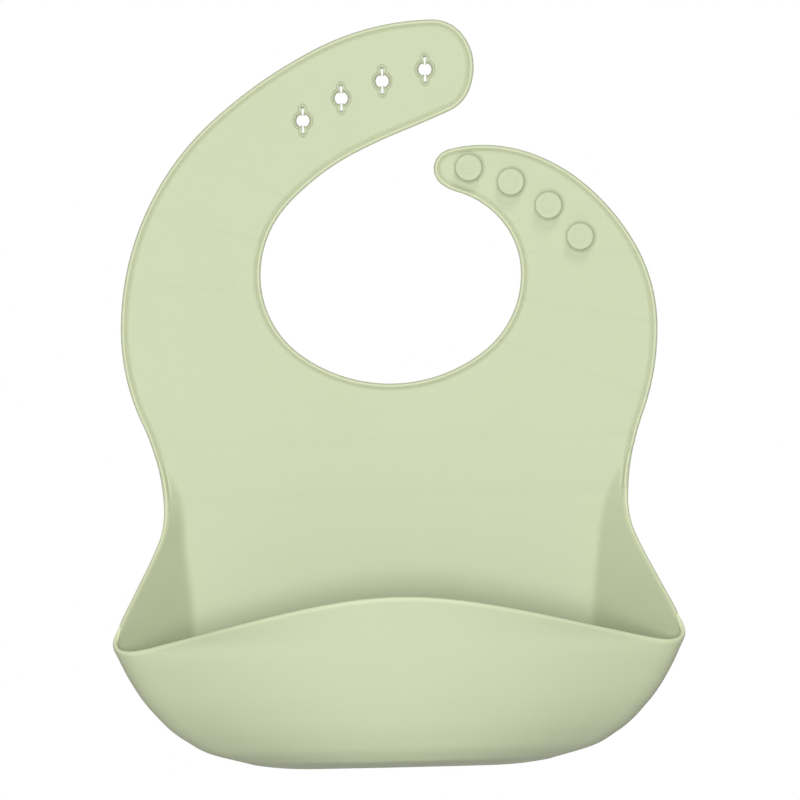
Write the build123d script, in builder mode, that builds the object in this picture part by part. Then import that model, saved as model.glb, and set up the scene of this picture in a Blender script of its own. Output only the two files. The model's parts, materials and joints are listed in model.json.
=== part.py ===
from build123d import *
import os
from math import cos, radians, sin, sqrt

os.makedirs("parts", exist_ok=True)

# A silicone bib, modelled as worn: +Z is up, -Y is the front, the sheet's back lies on Y = 0 and
# the origin is the centre of the neck opening. Everything is in millimetres.

# ---- sheet and bead ----
sheet = 1.8                 # thickness of the silicone sheet
bead_width = 2.2            # raised bead along every free edge
bead_height = 0.8           # how far the bead stands above the front of the sheet

# ---- outline: half widths from the centre line, heights from the neck centre ----
neck_half = 53.1
neck_drop = 44.3
eyelet_shoulder_half = 110.6
stud_shoulder_half = 108.3
shoulder_drop = 22.0
waist_half = 94.9
waist_drop = 95.0

# ---- eyelet strap (the long, wide one) ----
eyelet_strap_top = 103.8
eyelet_tip = Vector(35.8, 84.7)
eyelet_inner_edge = Vector(-13.8, 49.8)
eyelet_inner_end = Vector(25.8, 66.5)
eyelet_outer_edge = Vector(-71.0, 64.8)
eyelet_top_across = 19.0

# ---- stud strap (the short, narrow one) ----
stud_strap_top = 52.2
stud_top_across = 37.4
stud_tip = Vector(18.5, 42.7)
stud_inner_end = Vector(27.6, 33.3)
stud_outer_edge = Vector(79.8, 35.6)

# ---- closure: four studs that button through four eyelets at the same pitch ----
pitch = 18.1
eyelet_row_middle = Vector(-10.1, 75.8)
eyelet_row_heading = 21.5
eyelet_row_turn = -7.5      # the row bends by this much at each eyelet
stud_row_middle = Vector(57.3, 31.8)
stud_row_heading = -33.0
stud_row_turn = -13.0
eyelet_radius = 3.0
slit_length = 11.2
slit_width = 1.3
rim_width = 1.25            # flat rim round an eyelet and its slit
rim_height = 0.4
stem_radius = 2.0
head_radius = 5.5
head_thickness = 2.0
head_edge = 0.5
button_clearance = 1.0      # free stem length beyond an eyelet's thickness

# ---- bending stretches ----
flex = 5.0                  # length of each strap's bending stretch
eyelet_root_bend = 176.0    # directions of the strap bends, seen from the neck centre
eyelet_end_bend = 152.0
stud_root_bend = -22.0
stud_end_bend = -1.0
waist_bend = 78.0           # height of the roll-up bend below the neck centre
waist_flex_height = 8.0

# ---- catch-all pocket ----
corner_half = 115.5         # half width at the mouth corners
corner_drop = 148.0
corner_depth = 32.0
corner_radius = 4.0         # rounding between a slanted side and the front wall
corner_run = 5.0            # both run on this far past the mouth's edge before they would meet
front_drop = 130.0          # top of the front wall on the centre line
pocket_depth = 50.0
panel_half = 78.0           # half width of the flat back wall
bottom_drop = 200.5
bottom_half = 48.0
waist_lap = 1.0             # the sheet runs on this far below the waist into the pocket's back
floor_height = 10.5         # the floor takes in this much above the bottom
front_edge = 5.0            # the front wall wraps this far round behind the mouth corners
rim_band = 3.0              # height of the pouring rim on the front wall
far = 260.0                 # reach of the cutting shapes, beyond the whole bib
bend_reach = 150.0          # reach of a strap bend's side lines, past the widest shoulder


def polar(angle, reach):
    return Vector(reach * cos(radians(angle)), reach * sin(radians(angle)))


def row(middle, heading, turn):
    """Places of the closure's parts: equal steps of one pitch along a bending row."""
    places = [middle - polar(heading, pitch / 2), middle + polar(heading, pitch / 2)]
    places.insert(0, places[0] - polar(heading - turn, pitch))
    places.append(places[-1] + polar(heading + turn, pitch))
    return places


eyelet_places = row(eyelet_row_middle, eyelet_row_heading, eyelet_row_turn)
stud_places = row(stud_row_middle, stud_row_heading, stud_row_turn)

# Outline knots: place, and heading of the edge there. Two tangent arcs join each pair.
hem = 20                    # the sheet runs on this far below the waist, so no bead crosses it there
outline_knots = (
    (Vector(0, -neck_drop), 180),
    (Vector(-neck_half, 0), 90),
    (eyelet_inner_edge, 26.4),
    (eyelet_inner_end, 23.5),
    (eyelet_tip, 90),
    (Vector(eyelet_top_across, eyelet_strap_top), 180),
    (eyelet_outer_edge, 221),
    (Vector(-eyelet_shoulder_half, -shoulder_drop), 270),
    (Vector(-waist_half, -waist_drop), 270),
    (Vector(waist_half, -waist_drop), 90),
    (Vector(stud_shoulder_half, -shoulder_drop), 90),
    (stud_outer_edge, 139.1),
    (Vector(stud_top_across, stud_strap_top), 180),
    (stud_tip, 270),
    (stud_inner_end, -16.7),
    (Vector(neck_half, 0), 270),
)


def arc_joint(start, leaving, end, arriving):
    """Where two tangent arcs meet on the way from start to end, and their shared heading there."""
    chord = end - start
    both = leaving + arriving
    spread = 2 * (1 - leaving.dot(arriving))
    reach = chord.dot(chord) / (chord.dot(both) + sqrt(chord.dot(both) ** 2 + spread * chord.dot(chord)))
    first = start + leaving * reach
    last = end - arriving * reach
    return (first + last) / 2, last - first


with BuildSketch(Plane.XZ) as outline:
    with BuildLine():
        for knot, following in zip(outline_knots, outline_knots[1:] + outline_knots[:1]):
            (start, heading), (end, end_heading) = knot, following
            if start.Y == end.Y == -waist_drop:
                Polyline(start, start - Vector(0, hem), end - Vector(0, hem), end)
            else:
                leaving = polar(heading, 1)
                joint, joint_heading = arc_joint(start, leaving, end, polar(end_heading, 1))
                TangentArc(start, joint, tangent=leaving)
                TangentArc(joint, end, tangent=joint_heading)
    make_face()

with BuildSketch() as inside_bead:
    add(outline.sketch_local)
    offset(amount=-bead_width, kind=Kind.ARC, mode=Mode.REPLACE)
bead_face = outline.sketch_local - inside_bead.sketch_local


# ---- regions of the sheet, as polygons in the plane of the sheet ----
def side_line(angle, shift):
    """A line through the neck opening at an angle, moved sideways by shift; start and far end."""
    start = polar(angle + 90, shift)
    return start, start + polar(angle, bend_reach)


_, eyelet_root_low = side_line(eyelet_root_bend, flex / 2)
_, eyelet_root_high = side_line(eyelet_root_bend, -flex / 2)
_, eyelet_end_low = side_line(eyelet_end_bend, flex / 2)
_, eyelet_end_high = side_line(eyelet_end_bend, -flex / 2)
_, stud_root_low = side_line(stud_root_bend, -flex / 2)
_, stud_root_high = side_line(stud_root_bend, flex / 2)
_, stud_end_low = side_line(stud_end_bend, -flex / 2)
_, stud_end_high = side_line(stud_end_bend, flex / 2)


def near(angle, shift):
    """The end of a bend's side line that lies inside the neck opening."""
    return side_line(angle, shift)[0] + polar(angle, neck_half / 2)


between_straps = Vector(12, (stud_strap_top + eyelet_inner_end.Y) / 2 - 2.5)
between_far = Vector(far, between_straps.Y)
waist_top = -waist_bend + waist_flex_height / 2
waist_low = -waist_bend - waist_flex_height / 2

regions = {
    "chest_panel": (
        near(eyelet_root_bend, flex / 2), eyelet_root_low, Vector(-far, waist_top),
        Vector(far, waist_top), stud_root_low, near(stud_root_bend, -flex / 2),
    ),
    "waist_flex": (
        Vector(-far, waist_top), Vector(-far, waist_low), Vector(far, waist_low), Vector(far, waist_top),
    ),
    "eyelet_strap_root_flex": (
        near(eyelet_root_bend, flex / 2), eyelet_root_low, eyelet_root_high,
        near(eyelet_root_bend, -flex / 2),
    ),
    "eyelet_strap_middle": (
        near(eyelet_root_bend, -flex / 2), eyelet_root_high, eyelet_end_low,
        near(eyelet_end_bend, flex / 2),
    ),
    "eyelet_strap_flex": (
        near(eyelet_end_bend, flex / 2), eyelet_end_low, eyelet_end_high,
        near(eyelet_end_bend, -flex / 2),
    ),
    "eyelet_strap_end": (
        near(eyelet_end_bend, -flex / 2), eyelet_end_high, Vector(0, far), Vector(far, far),
        between_far, between_straps, Vector(0, neck_half / 2),
    ),
    "stud_strap_root_flex": (
        near(stud_root_bend, -flex / 2), stud_root_low, stud_root_high, near(stud_root_bend, flex / 2),
    ),
    "stud_strap_middle": (
        near(stud_root_bend, flex / 2), stud_root_high, stud_end_low, near(stud_end_bend, -flex / 2),
    ),
    "stud_strap_flex": (
        near(stud_end_bend, -flex / 2), stud_end_low, stud_end_high, near(stud_end_bend, flex / 2),
    ),
    "stud_strap_end": (
        near(stud_end_bend, flex / 2), stud_end_high, between_far, between_straps, Vector(0, neck_half / 2),
    ),
}


def finish(part, label):
    part.label = label
    export_step(part, f"parts/{label}.step")


with BuildSketch() as eyelet_outside:
    Circle(eyelet_radius + rim_width)
    SlotOverall(slit_length + 2 * rim_width, slit_width + 2 * rim_width, rotation=90)

with BuildSketch() as eyelet_plan:
    add(eyelet_outside.sketch)
    Circle(eyelet_radius, mode=Mode.SUBTRACT)
    SlotOverall(slit_length, slit_width, rotation=90, mode=Mode.SUBTRACT)


def plan_of(corners, face):
    """The part of a flat face that lies inside one region, drawn in the plane of the sheet."""
    with BuildSketch(Plane.XZ) as plan:
        with BuildLine():
            Polyline(*corners, close=True)
        make_face()
        add(face, mode=Mode.INTERSECT)
    return plan.sketch


for label, corners in regions.items():
    with BuildPart() as piece:
        extrude(plan_of(corners, outline.sketch_local), amount=sheet)
        extrude(plan_of(corners, bead_face), amount=sheet + bead_height)
        if label == "eyelet_strap_end":
            with BuildSketch(Plane.XZ):
                with Locations(*eyelet_places):
                    add(eyelet_outside.sketch)
            extrude(amount=sheet, mode=Mode.SUBTRACT)
        if label == "stud_strap_end":
            with BuildSketch(Plane.XZ):
                with Locations(*stud_places):
                    Circle(stem_radius)
            extrude(amount=sheet, mode=Mode.SUBTRACT)
    finish(piece.part, label)

# ---- eyelet rims: a round hole for the stem with a slit above and below it ----
for number, place in enumerate(eyelet_places, start=1):
    with BuildPart() as eyelet_rim:
        with BuildSketch(Plane.XZ):
            with Locations(place):
                add(eyelet_plan.sketch)
        extrude(amount=sheet + rim_height)
    finish(eyelet_rim.part, f"eyelet_rim_{number}")

# ---- studs: the stem passes through the sheet and ends flush with its back ----
stem_length = sheet + sheet + rim_height + button_clearance
for number, place in enumerate(stud_places, start=1):
    with BuildPart() as stud:
        with BuildSketch(Plane.XZ):
            with Locations(place):
                Circle(stem_radius)
        extrude(amount=stem_length)
        with BuildSketch(Plane.XZ.offset(stem_length)):
            with Locations(place):
                Circle(head_radius)
        extrude(amount=head_thickness)
        fillet(stud.faces().sort_by(Axis.Y)[0].edges(), head_edge)
    finish(stud.part, f"stud_{number}")

# ---- pocket shell: horizontal sections from the waist down to the bottom ----
# Each level gives its drop below the neck centre, then half width and depth of the mouth's edge or,
# below the corners, of the side, depth of the front and half width of the flat back.
pocket_levels = (
    (waist_drop, waist_half, sheet, pocket_depth - 6, panel_half),
    (waist_drop + 11, waist_half + 3.0, corner_depth * 0.33, pocket_depth - 4, panel_half),
    (waist_drop + 31, waist_half + 12.3, corner_depth * 0.68, pocket_depth - 2, panel_half),
    (corner_drop, corner_half, corner_depth, pocket_depth, panel_half),
    (corner_drop + 14, corner_half - 6, corner_depth - 2, pocket_depth - 0.5, panel_half - 1),
    (bottom_drop - 25, corner_half - 15, corner_depth - 6, pocket_depth - 1.5, panel_half - 7),
    (bottom_drop - 13, corner_half - 27, corner_depth - 11, pocket_depth - 3.5, panel_half - 17),
    (bottom_drop - 4.5, bottom_half + 19, corner_depth - 17, pocket_depth - 7, panel_half - 34),
    (bottom_drop, bottom_half, corner_depth - 21, pocket_depth - 13, panel_half - 46),
)


def pocket_section(level, inset):
    """A closed horizontal section: flat back, two slanted sides and a bowed front."""
    drop, half, side, front, back = level
    slant = Vector(half - back, -side)
    right = Vector(back, 0) + slant * (1 + corner_run / slant.length)
    left = Vector(-right.X, right.Y)
    with BuildSketch(Plane.XY.offset(-drop)) as section:
        with BuildLine():
            Polyline(right, (back, 0), (-back, 0), left)
            ThreePointArc(left, (0, -front), right)
        make_face()
        fillet(section.vertices().group_by(Axis.Y)[0], corner_radius)
        if inset:
            offset(amount=-inset, kind=Kind.INTERSECTION, mode=Mode.REPLACE)
    return section.sketch


floor_level = (bottom_drop - sheet,) + pocket_levels[-1][1:]
inner_levels = pocket_levels[:-1] + (floor_level,)
with BuildPart() as pocket_shell:
    loft([pocket_section(level, 0) for level in pocket_levels], ruled=True)
    loft([pocket_section(level, sheet) for level in inner_levels], ruled=True, mode=Mode.SUBTRACT)


def slab(profile):
    """A shape that reaches past both sides of the bib, from its outline seen from the side."""
    with BuildPart() as block:
        with BuildSketch(Plane.YZ):
            with BuildLine():
                Polyline(*profile, close=True)
            make_face()
        extrude(amount=far, both=True)
    return block.part


def mouth_line(lowered):
    """The mouth seen from the side: down from the waist to the corner, then up over the front."""
    return (
        (-sheet, -waist_drop), (-pocket_levels[1][2], -pocket_levels[1][0]),
        (-pocket_levels[2][2], -pocket_levels[2][0]), (-corner_depth, -corner_drop - lowered),
        (-pocket_depth, -front_drop - lowered), (-far, -front_drop - lowered), (-far, far), (-sheet, far),
    )


# Seen from the side: where the slanted sides end and the front wall begins.
front_line = (
    (-corner_depth + front_edge, -waist_drop), (-corner_depth + front_edge, -corner_drop),
    (-corner_depth + front_edge + 2, -corner_drop - 14), (-corner_depth + front_edge + 6, -bottom_drop + 25),
    (-corner_depth + front_edge + 11, -bottom_drop + floor_height),
)
front_zone = slab(front_line + ((-far, -bottom_drop + floor_height), (-far, -waist_drop)))
side_zone = slab(front_line + ((-sheet, -bottom_drop + floor_height), (-sheet, -waist_drop)))
back_zone = slab(((-sheet, -waist_drop), (-sheet, -far), (far, -far), (far, -waist_drop)))
floor_top = -bottom_drop + floor_height
floor_zone = slab(((-sheet, floor_top), (-sheet, -far), (-far, -far), (-far, floor_top)))
open_shell = pocket_shell.part - slab(mouth_line(0))
rim_zone = slab(mouth_line(rim_band))

with BuildPart() as lower_panel:
    waist_foot = -waist_drop - waist_lap
    waist_corners = (
        Vector(-far, waist_low), Vector(-far, waist_foot), Vector(far, waist_foot), Vector(far, waist_low),
    )
    extrude(plan_of(waist_corners, outline.sketch_local), amount=sheet)
    extrude(plan_of(waist_corners, bead_face), amount=sheet + bead_height)
    add(open_shell & back_zone)
finish(lower_panel.part, "lower_panel")

with BuildPart() as pocket_sides:
    add(open_shell & side_zone)
left_side, right_side = pocket_sides.solids().sort_by(Axis.X)
finish(left_side, "left_gusset")
finish(right_side, "right_gusset")

with BuildPart() as pocket_floor:
    add(open_shell & floor_zone)
finish(pocket_floor.part, "pocket_floor")

with BuildPart() as pocket_front:
    add((open_shell & front_zone) - rim_zone)
finish(pocket_front.part, "pocket_front")

with BuildPart() as pocket_rim:
    add(open_shell & front_zone & rim_zone)
finish(pocket_rim.part, "pocket_rim")
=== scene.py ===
"""Visual model of a silicone bib with a catch-all pocket, laid out as an add-on and run as a script."""

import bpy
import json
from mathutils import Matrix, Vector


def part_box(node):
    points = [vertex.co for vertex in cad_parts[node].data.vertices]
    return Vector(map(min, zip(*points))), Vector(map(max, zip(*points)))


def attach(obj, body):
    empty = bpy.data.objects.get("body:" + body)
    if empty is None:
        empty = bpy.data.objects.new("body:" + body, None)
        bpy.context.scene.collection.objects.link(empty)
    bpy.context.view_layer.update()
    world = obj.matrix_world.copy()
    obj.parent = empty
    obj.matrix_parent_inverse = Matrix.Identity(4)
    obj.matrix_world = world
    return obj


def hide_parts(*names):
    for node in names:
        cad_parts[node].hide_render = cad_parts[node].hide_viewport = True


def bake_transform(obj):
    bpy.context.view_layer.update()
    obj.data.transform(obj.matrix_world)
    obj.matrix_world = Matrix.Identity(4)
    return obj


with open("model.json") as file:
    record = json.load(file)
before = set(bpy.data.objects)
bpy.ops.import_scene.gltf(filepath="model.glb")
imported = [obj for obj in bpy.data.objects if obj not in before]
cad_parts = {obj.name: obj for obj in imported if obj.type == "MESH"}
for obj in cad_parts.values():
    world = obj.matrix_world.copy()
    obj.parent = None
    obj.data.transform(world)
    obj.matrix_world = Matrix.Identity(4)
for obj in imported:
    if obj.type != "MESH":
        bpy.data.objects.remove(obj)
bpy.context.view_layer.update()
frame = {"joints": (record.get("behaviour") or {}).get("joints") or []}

import json

import bpy
import numpy as np
from mathutils import Vector
from mathutils.geometry import tessellate_polygon

bl_info = {
    "name": "Silicone bib",
    "version": (1, 0, 0),
    "blender": (4, 5, 0),
    "location": "View3D > Sidebar > Bib",
    "description": "Makes a moulded silicone bib with button straps and a catch-all pocket",
    "category": "Add Mesh",
}

MM = 0.001

# Outline of the sheet, in millimetres from the neck centre: place, and heading of the edge there.
# It starts at the right waist, goes round the stud strap, the neck opening and the eyelet strap,
# and ends at the left waist, with the sheet always on its left.
WAIST_Z = -95.0
OUTLINE = (
    ((94.9, WAIST_Z), 90),
    ((108.3, -22.0), 90),
    ((79.8, 35.6), 139.1),
    ((37.4, 52.2), 180),
    ((18.5, 42.7), 270),
    ((27.6, 33.3), -16.7),
    ((53.1, 0.0), 270),
    ((0.0, -44.3), 180),
    ((-53.1, 0.0), 90),
    ((-13.8, 49.8), 26.4),
    ((25.8, 66.5), 23.5),
    ((35.8, 84.7), 90),
    ((19.0, 103.8), 180),
    ((-71.0, 64.8), 221),
    ((-110.6, -22.0), 270),
    ((-94.9, WAIST_Z), 270),
)

# Rows of vertices near a free edge: distance from the edge, close together over the bead.
EDGE_ROWS = np.array([0, 0.06, 0.2, 0.42, 0.72, 1.05, 1.4, 1.75, 2.05, 2.35, 2.6, 2.9, 3.3, 3.9, 4.8])
DEEP = 20.0  # distance given to vertices away from every free edge
BACK_ROUNDING = 0.9  # how far in from the edge the back and the front round over
FRONT_ROUNDING = 0.5
BEAD_PLACE = 1.0  # the bead's middle, its half width, and the edge's own share of it
BEAD_HALF = 1.2
BEAD_START = 0.25
GROOVE_PLACE = 2.6  # the groove's middle and its half width
GROOVE_HALF = 0.34
WELD = 0.004  # points nearer than about this are one point
SHARP_ANGLE = 50  # degrees past which an edge isn't shaded smooth
WAIST_BEAD = (104.0, 22.0)  # the bead ends this far below the neck's centre, and fades in above over
POCKET_BEAD = (101.0, 26.0)  # the second length: on the waist's side edges, and on the pocket's

# Pocket, from where its side folds begin: height, half width and depth of the mouth's edge or, below
# the corners, of the side, depth of the front on the centre line, and half width of the flat back.
POCKET_LEVELS = np.array((
    (-72.0, 97.6, 0.0, 44.0, 97.0),
    (-78.0, 96.4, 0.7, 44.0, 93.0),
    (-86.0, 95.3, 2.8, 44.4, 88.4),
    (WAIST_Z, 94.9, 5.5, 45.0, 85.4),
    (-104.0, 96.3, 8.2, 45.8, 83.6),
    (-112.0, 99.6, 11.2, 46.8, 82.6),
    (-128.0, 107.6, 20.4, 48.4, 81.0),
    (-141.0, 113.9, 28.4, 49.2, 80.0),
    (-148.0, 115.8, 31.4, 49.5, 79.3),
    (-154.0, 113.4, 31.4, 49.6, 79.0),
    (-162.0, 109.5, 30.0, 49.4, 77.5),
    (-175.5, 100.4, 26.5, 48.6, 72.0),
    (-187.5, 87.5, 21.0, 46.6, 61.0),
    (-193.5, 76.5, 17.6, 44.2, 51.0),
    (-197.0, 64.0, 15.2, 41.0, 42.0),
))
FOOT_Z = -197.0  # foot of the walls
SOLE_DROP = 3.2  # how far the rounded underside hangs below the foot
SOLE_FLAT = 36.0  # half width over which it hangs fully, and its fall-off beyond that
SOLE_FALL = 30.0
RIM_TOP_Z = -130.2  # top of the front wall on the centre line
RIM_FALL = 20.1  # how much lower the rim lies beside the corners
RIM_REACH = 106.0  # half width over which it falls
CORNER_TOP_Z = -140.0  # the mouth's corner is rounded from this height on the side edge
CORNER_ALONG = 8.5  # to this far along the front rim
CORNER_FOOT_Z = -150.0  # about the height of the front rim there
CORNER_AHEAD = 1.0  # the section's corner starts to round this far above CORNER_TOP_Z
CORNER_GROWTH = 14.0  # and reaches its whole rounding over this height
LEFT_FOLD_OUT = 4.6  # how much further out the left side's fold lies than the right side's
LEFT_FOLD_TOP = -80.0  # between these heights, over a fading length at each end
LEFT_FOLD_FOOT = -182.0
LEFT_FOLD_FADE = 30.0
HEEL = 3.0  # how far the back's foot curves forwards, from this height down, over
HEEL_TOP_Z = -186.0  # this much height, for points within about this depth of the back
HEEL_RISE = 11.0
HEEL_DEPTH = 6.0


# ---------------------------------------------------------------- sizes and colours
class BibSizes(bpy.types.PropertyGroup):
    """Sizes a user would change."""

    sheet: bpy.props.FloatProperty(
        name="Sheet", description="Thickness of the silicone sheet", default=1.8 * MM, unit="LENGTH")
    bead: bpy.props.FloatProperty(
        name="Bead", description="Height of the edge bead above the sheet", default=0.8 * MM, unit="LENGTH")
    groove: bpy.props.FloatProperty(
        name="Groove", description="Depth of the groove beside the bead", default=0.3 * MM, unit="LENGTH")
    bend: bpy.props.FloatProperty(
        name="Bend", description="Half length of a strap's bending stretch", default=9.0 * MM, unit="LENGTH")
    waist_bend: bpy.props.FloatProperty(
        name="Waist bend", description="Half length of the waist's fold", default=11.0 * MM, unit="LENGTH")


class BibColours(bpy.types.PropertyGroup):
    """Colours a user would change."""

    silicone: bpy.props.FloatVectorProperty(
        name="Silicone", description="Colour of the moulded silicone", subtype="COLOR", size=3,
        default=(0.510, 0.556, 0.371), min=0, max=1)
    # The bead's colour is a painted highlight: a lighter colour than the silicone, mixed in near the free
    # edge.
    polish_and_painted_highlight: bpy.props.FloatVectorProperty(
        name="Painted highlight on the bead", description="Colour of the bead, where the mould is polished",
        subtype="COLOR", size=3, default=(0.665, 0.715, 0.475), min=0, max=1)
    backdrop: bpy.props.FloatVectorProperty(
        name="Backdrop", description="Colour of floor and surroundings", subtype="COLOR", size=3,
        default=(1.0, 1.0, 1.0), min=0, max=1)


# ---------------------------------------------------------------- curves
def normalised(vectors):
    """Vectors divided by their lengths."""
    return vectors / np.linalg.norm(vectors, axis=-1)[..., None]


def read_off(lengths, all_lengths, pairs):
    """Pairs of values at lengths along a path, straight between the given ones."""
    return np.stack([np.interp(lengths, all_lengths, pairs[:, k]) for k in (0, 1)], axis=-1)


def unit(angle):
    """The unit vector at an angle in degrees: its cosine and its sine."""
    return np.array([np.cos(np.radians(angle)), np.sin(np.radians(angle))])


def arc(start, tangent, end, step=0.2):
    """Points of the circular arc that leaves start along tangent and ends at end, without the end.

    The chord leaves the tangent at half the turn, and the arc is as much longer than the chord as
    the half turn is more than its sine. With no turn it is the straight chord."""
    side = np.array([-tangent[1], tangent[0]])
    chord = end - start
    turn = 2 * np.arctan2(chord @ side, chord @ tangent)
    straight = abs(turn) < 1e-6
    bulge = 1.0 if straight else (turn / 2) / np.sin(turn / 2)
    length = np.linalg.norm(chord) * bulge
    count = max(4, int(length / step))
    share = np.arange(count) / count
    if straight:
        return start + np.outer(share, chord)
    radius = length / turn
    swept = share * turn
    return start + radius * (np.outer(np.sin(swept), tangent) + np.outer(1 - np.cos(swept), side))


def two_arcs(start, heading, end, end_heading):
    """Points of the two equal-reach tangent arcs that join start to end with the given headings."""
    leaving, arriving = unit(heading), unit(end_heading)
    chord, both = end - start, leaving + arriving
    spread = 2 * (1 - leaving @ arriving)
    reach = chord @ chord / (chord @ both + np.sqrt((chord @ both) ** 2 + spread * chord @ chord))
    first, last = start + leaving * reach, end - arriving * reach
    joint = (first + last) / 2
    middle = (last - first) / np.linalg.norm(last - first)
    return np.concatenate((arc(start, leaving, joint), arc(joint, middle, end)))


class FreeEdge:
    """The bib's free edge as a dense path: points, inward normals and lengths along it."""

    def __init__(self):
        runs = [
            two_arcs(np.array(a), heading, np.array(b), end_heading)
            for (a, heading), (b, end_heading) in zip(OUTLINE, OUTLINE[1:])
        ]
        self.points = np.concatenate(runs + [np.array([OUTLINE[-1][0]])])
        steps = np.linalg.norm(np.diff(self.points, axis=0), axis=1)
        self.lengths = np.concatenate(([0], np.cumsum(steps)))
        tangents = np.gradient(self.points, self.lengths, axis=0)
        tangents = normalised(tangents)
        self.normals = np.stack((-tangents[:, 1], tangents[:, 0]), axis=1)

    def at(self, lengths):
        """Points and inward normals at the given lengths along the edge."""
        points, normals = (read_off(lengths, self.lengths, of) for of in (self.points, self.normals))
        return points, normalised(normals)

    def crossings(self, origin, direction):
        """Lengths where the edge crosses a line, ahead of origin, sorted by distance from origin."""
        across = np.array([-direction[1], direction[0]])
        offset = (self.points - origin) @ across
        ahead = (self.points - origin) @ direction
        crossed = (offset[:-1] * offset[1:] <= 0) & (offset[:-1] != offset[1:])
        hits = np.flatnonzero(crossed & (ahead[:-1] > 0))
        share = offset[hits] / (offset[hits] - offset[hits + 1])
        lengths = self.lengths[hits] + share * (self.lengths[hits + 1] - self.lengths[hits])
        order = np.argsort(ahead[hits])
        return lengths[order]


EDGE = FreeEdge()


# ---------------------------------------------------------------- flat sheet, as points with edge distance
class Patch:
    """A single-layer mesh of the sheet's back: points, distance to the free edge, bead share, faces."""

    def __init__(self):
        self.points, self.distance, self.bead, self.faces, self.count = [], [], [], [], 0

    def grid(self, points, distance, bead):
        """Adds a grid of points and its quads. Rows run along the first axis."""
        rows, columns = distance.shape
        index = np.arange(rows * columns).reshape(rows, columns) + self.count
        quads = np.stack((index[:-1, :-1], index[:-1, 1:], index[1:, 1:], index[1:, :-1]), axis=-1)
        self.points.append(points.reshape(-1, 3))
        self.distance.append(distance.ravel())
        self.bead.append(np.broadcast_to(bead, distance.shape).ravel())
        self.faces += quads.reshape(-1, 4).tolist()
        self.count += rows * columns

    def sheet(self, plane, distance, bead=1.0):
        """Adds a grid that lies in the sheet's plane, turned so that it faces the bib's front."""
        ahead, aside = np.diff(plane, axis=0)[:, :-1], np.diff(plane, axis=1)[:-1]
        area = np.sum(aside[..., 0] * ahead[..., 1] - aside[..., 1] * ahead[..., 0])
        way = 1 if area > 0 else -1
        self.grid(in_sheet(plane)[::way], np.broadcast_to(distance, plane.shape[:2])[::way], bead)

    def fill(self, outer, holes=()):
        """Adds the flat inside of a closed loop of points, less the holes."""
        loops = [outer, *holes]
        flat = [[Vector((x, z, 0)) for x, z in loop] for loop in loops]
        triangles = np.array(tessellate_polygon(flat))
        points = np.concatenate(loops)
        a, b, c = (points[triangles[:, k]] for k in range(3))
        area = (b[:, 0] - a[:, 0]) * (c[:, 1] - a[:, 1]) - (b[:, 1] - a[:, 1]) * (c[:, 0] - a[:, 0])
        triangles[area < 0] = triangles[area < 0][:, ::-1]
        self.faces += (triangles[abs(area) > 1e-9] + self.count).tolist()
        self.points.append(in_sheet(points))
        self.distance.append(np.full(len(points), DEEP))
        self.bead.append(np.ones(len(points)))
        self.count += len(points)


def in_sheet(points):
    """Puts points of the sheet's plane, across and up, on the bib's back at Y = 0."""
    return np.stack((points[..., 0], np.zeros(points.shape[:-1]), points[..., 1]), axis=-1)


def edge_section(point, normal, direction):
    """Points on a section line at each edge row's distance from the edge, measured square to it."""
    reach = EDGE_ROWS / np.sum(normal * direction, axis=-1)[..., None]
    return point[..., None, :] + reach[..., None] * direction[..., None, :]


def edge_band(patch, start, end, start_line, end_line, spacing=1.5, turn_in=9.0):
    """Adds the strip along the free edge between two lengths, and returns its innermost row.

    Each section leaves the edge square to it, and swings to a seam's own line near the strip's ends."""
    lengths = np.linspace(start, end, max(8, int(abs(end - start) / spacing)))
    points, normals = EDGE.at(lengths)
    near_start = smooth(1 - (lengths - start) / turn_in)[:, None]
    near_end = smooth(1 - (end - lengths) / turn_in)[:, None]
    direction = normals * (1 - near_start) * (1 - near_end)
    direction = direction + start_line * near_start + end_line * near_end
    rows = edge_section(points, normals, normalised(direction))
    patch.sheet(rows, EDGE_ROWS)
    return rows[:, -1]


def smooth(share):
    """Smoothstep of a share, held between 0 and 1."""
    share = np.clip(share, 0, 1)
    return share * share * (3 - 2 * share)


class Seam:
    """A straight line across the sheet: where it meets the free edge, and its points in between."""

    def __init__(self, origin, direction, both_ways=False):
        self.direction = direction
        if both_ways:
            self.inner = EDGE.crossings(origin, -direction)[0]
            self.outer = EDGE.crossings(origin, direction)[0]
        else:
            self.inner, self.outer = EDGE.crossings(origin, direction)[:2]

    def row(self, middle_count):
        """The line's points from inner to outer edge: edge rows, even steps, edge rows."""
        points, normals = EDGE.at(np.array([self.inner, self.outer]))
        first = edge_section(points[0], normals[0], self.direction)
        last = edge_section(points[1], normals[1], -self.direction)[::-1]
        share = np.arange(1, middle_count + 1)[:, None] / (middle_count + 1)
        middle = first[-1] + share * (last[0] - first[-1])
        distance = np.concatenate((EDGE_ROWS, np.full(middle_count, DEEP), EDGE_ROWS[::-1]))
        return np.concatenate((first, middle, last)), distance


def ribbon(seams, middle_count=16):
    """A patch swept through a row of seams."""
    patch = Patch()
    rows = [seam.row(middle_count) for seam in seams]
    points = np.stack([row[0] for row in rows])
    patch.sheet(points, rows[0][1])
    return patch


def joint_line(name):
    """The direction of a strap bend's axis in the sheet, pointing from the neck outwards, as an angle."""
    axis = np.array(joint_named(name)["axis"])[[0, 2]]
    outward = -1 if name.startswith("eyelet") else 1
    axis = axis * (1 if axis[0] * outward > 0 else -1)
    return np.degrees(np.arctan2(axis[1], axis[0]))


def strap_seam(angle, shift):
    """A seam along a bend's axis, moved sideways by shift, seen from the neck centre."""
    direction = unit(angle)
    return Seam(np.array([-direction[1], direction[0]]) * shift, direction)


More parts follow.
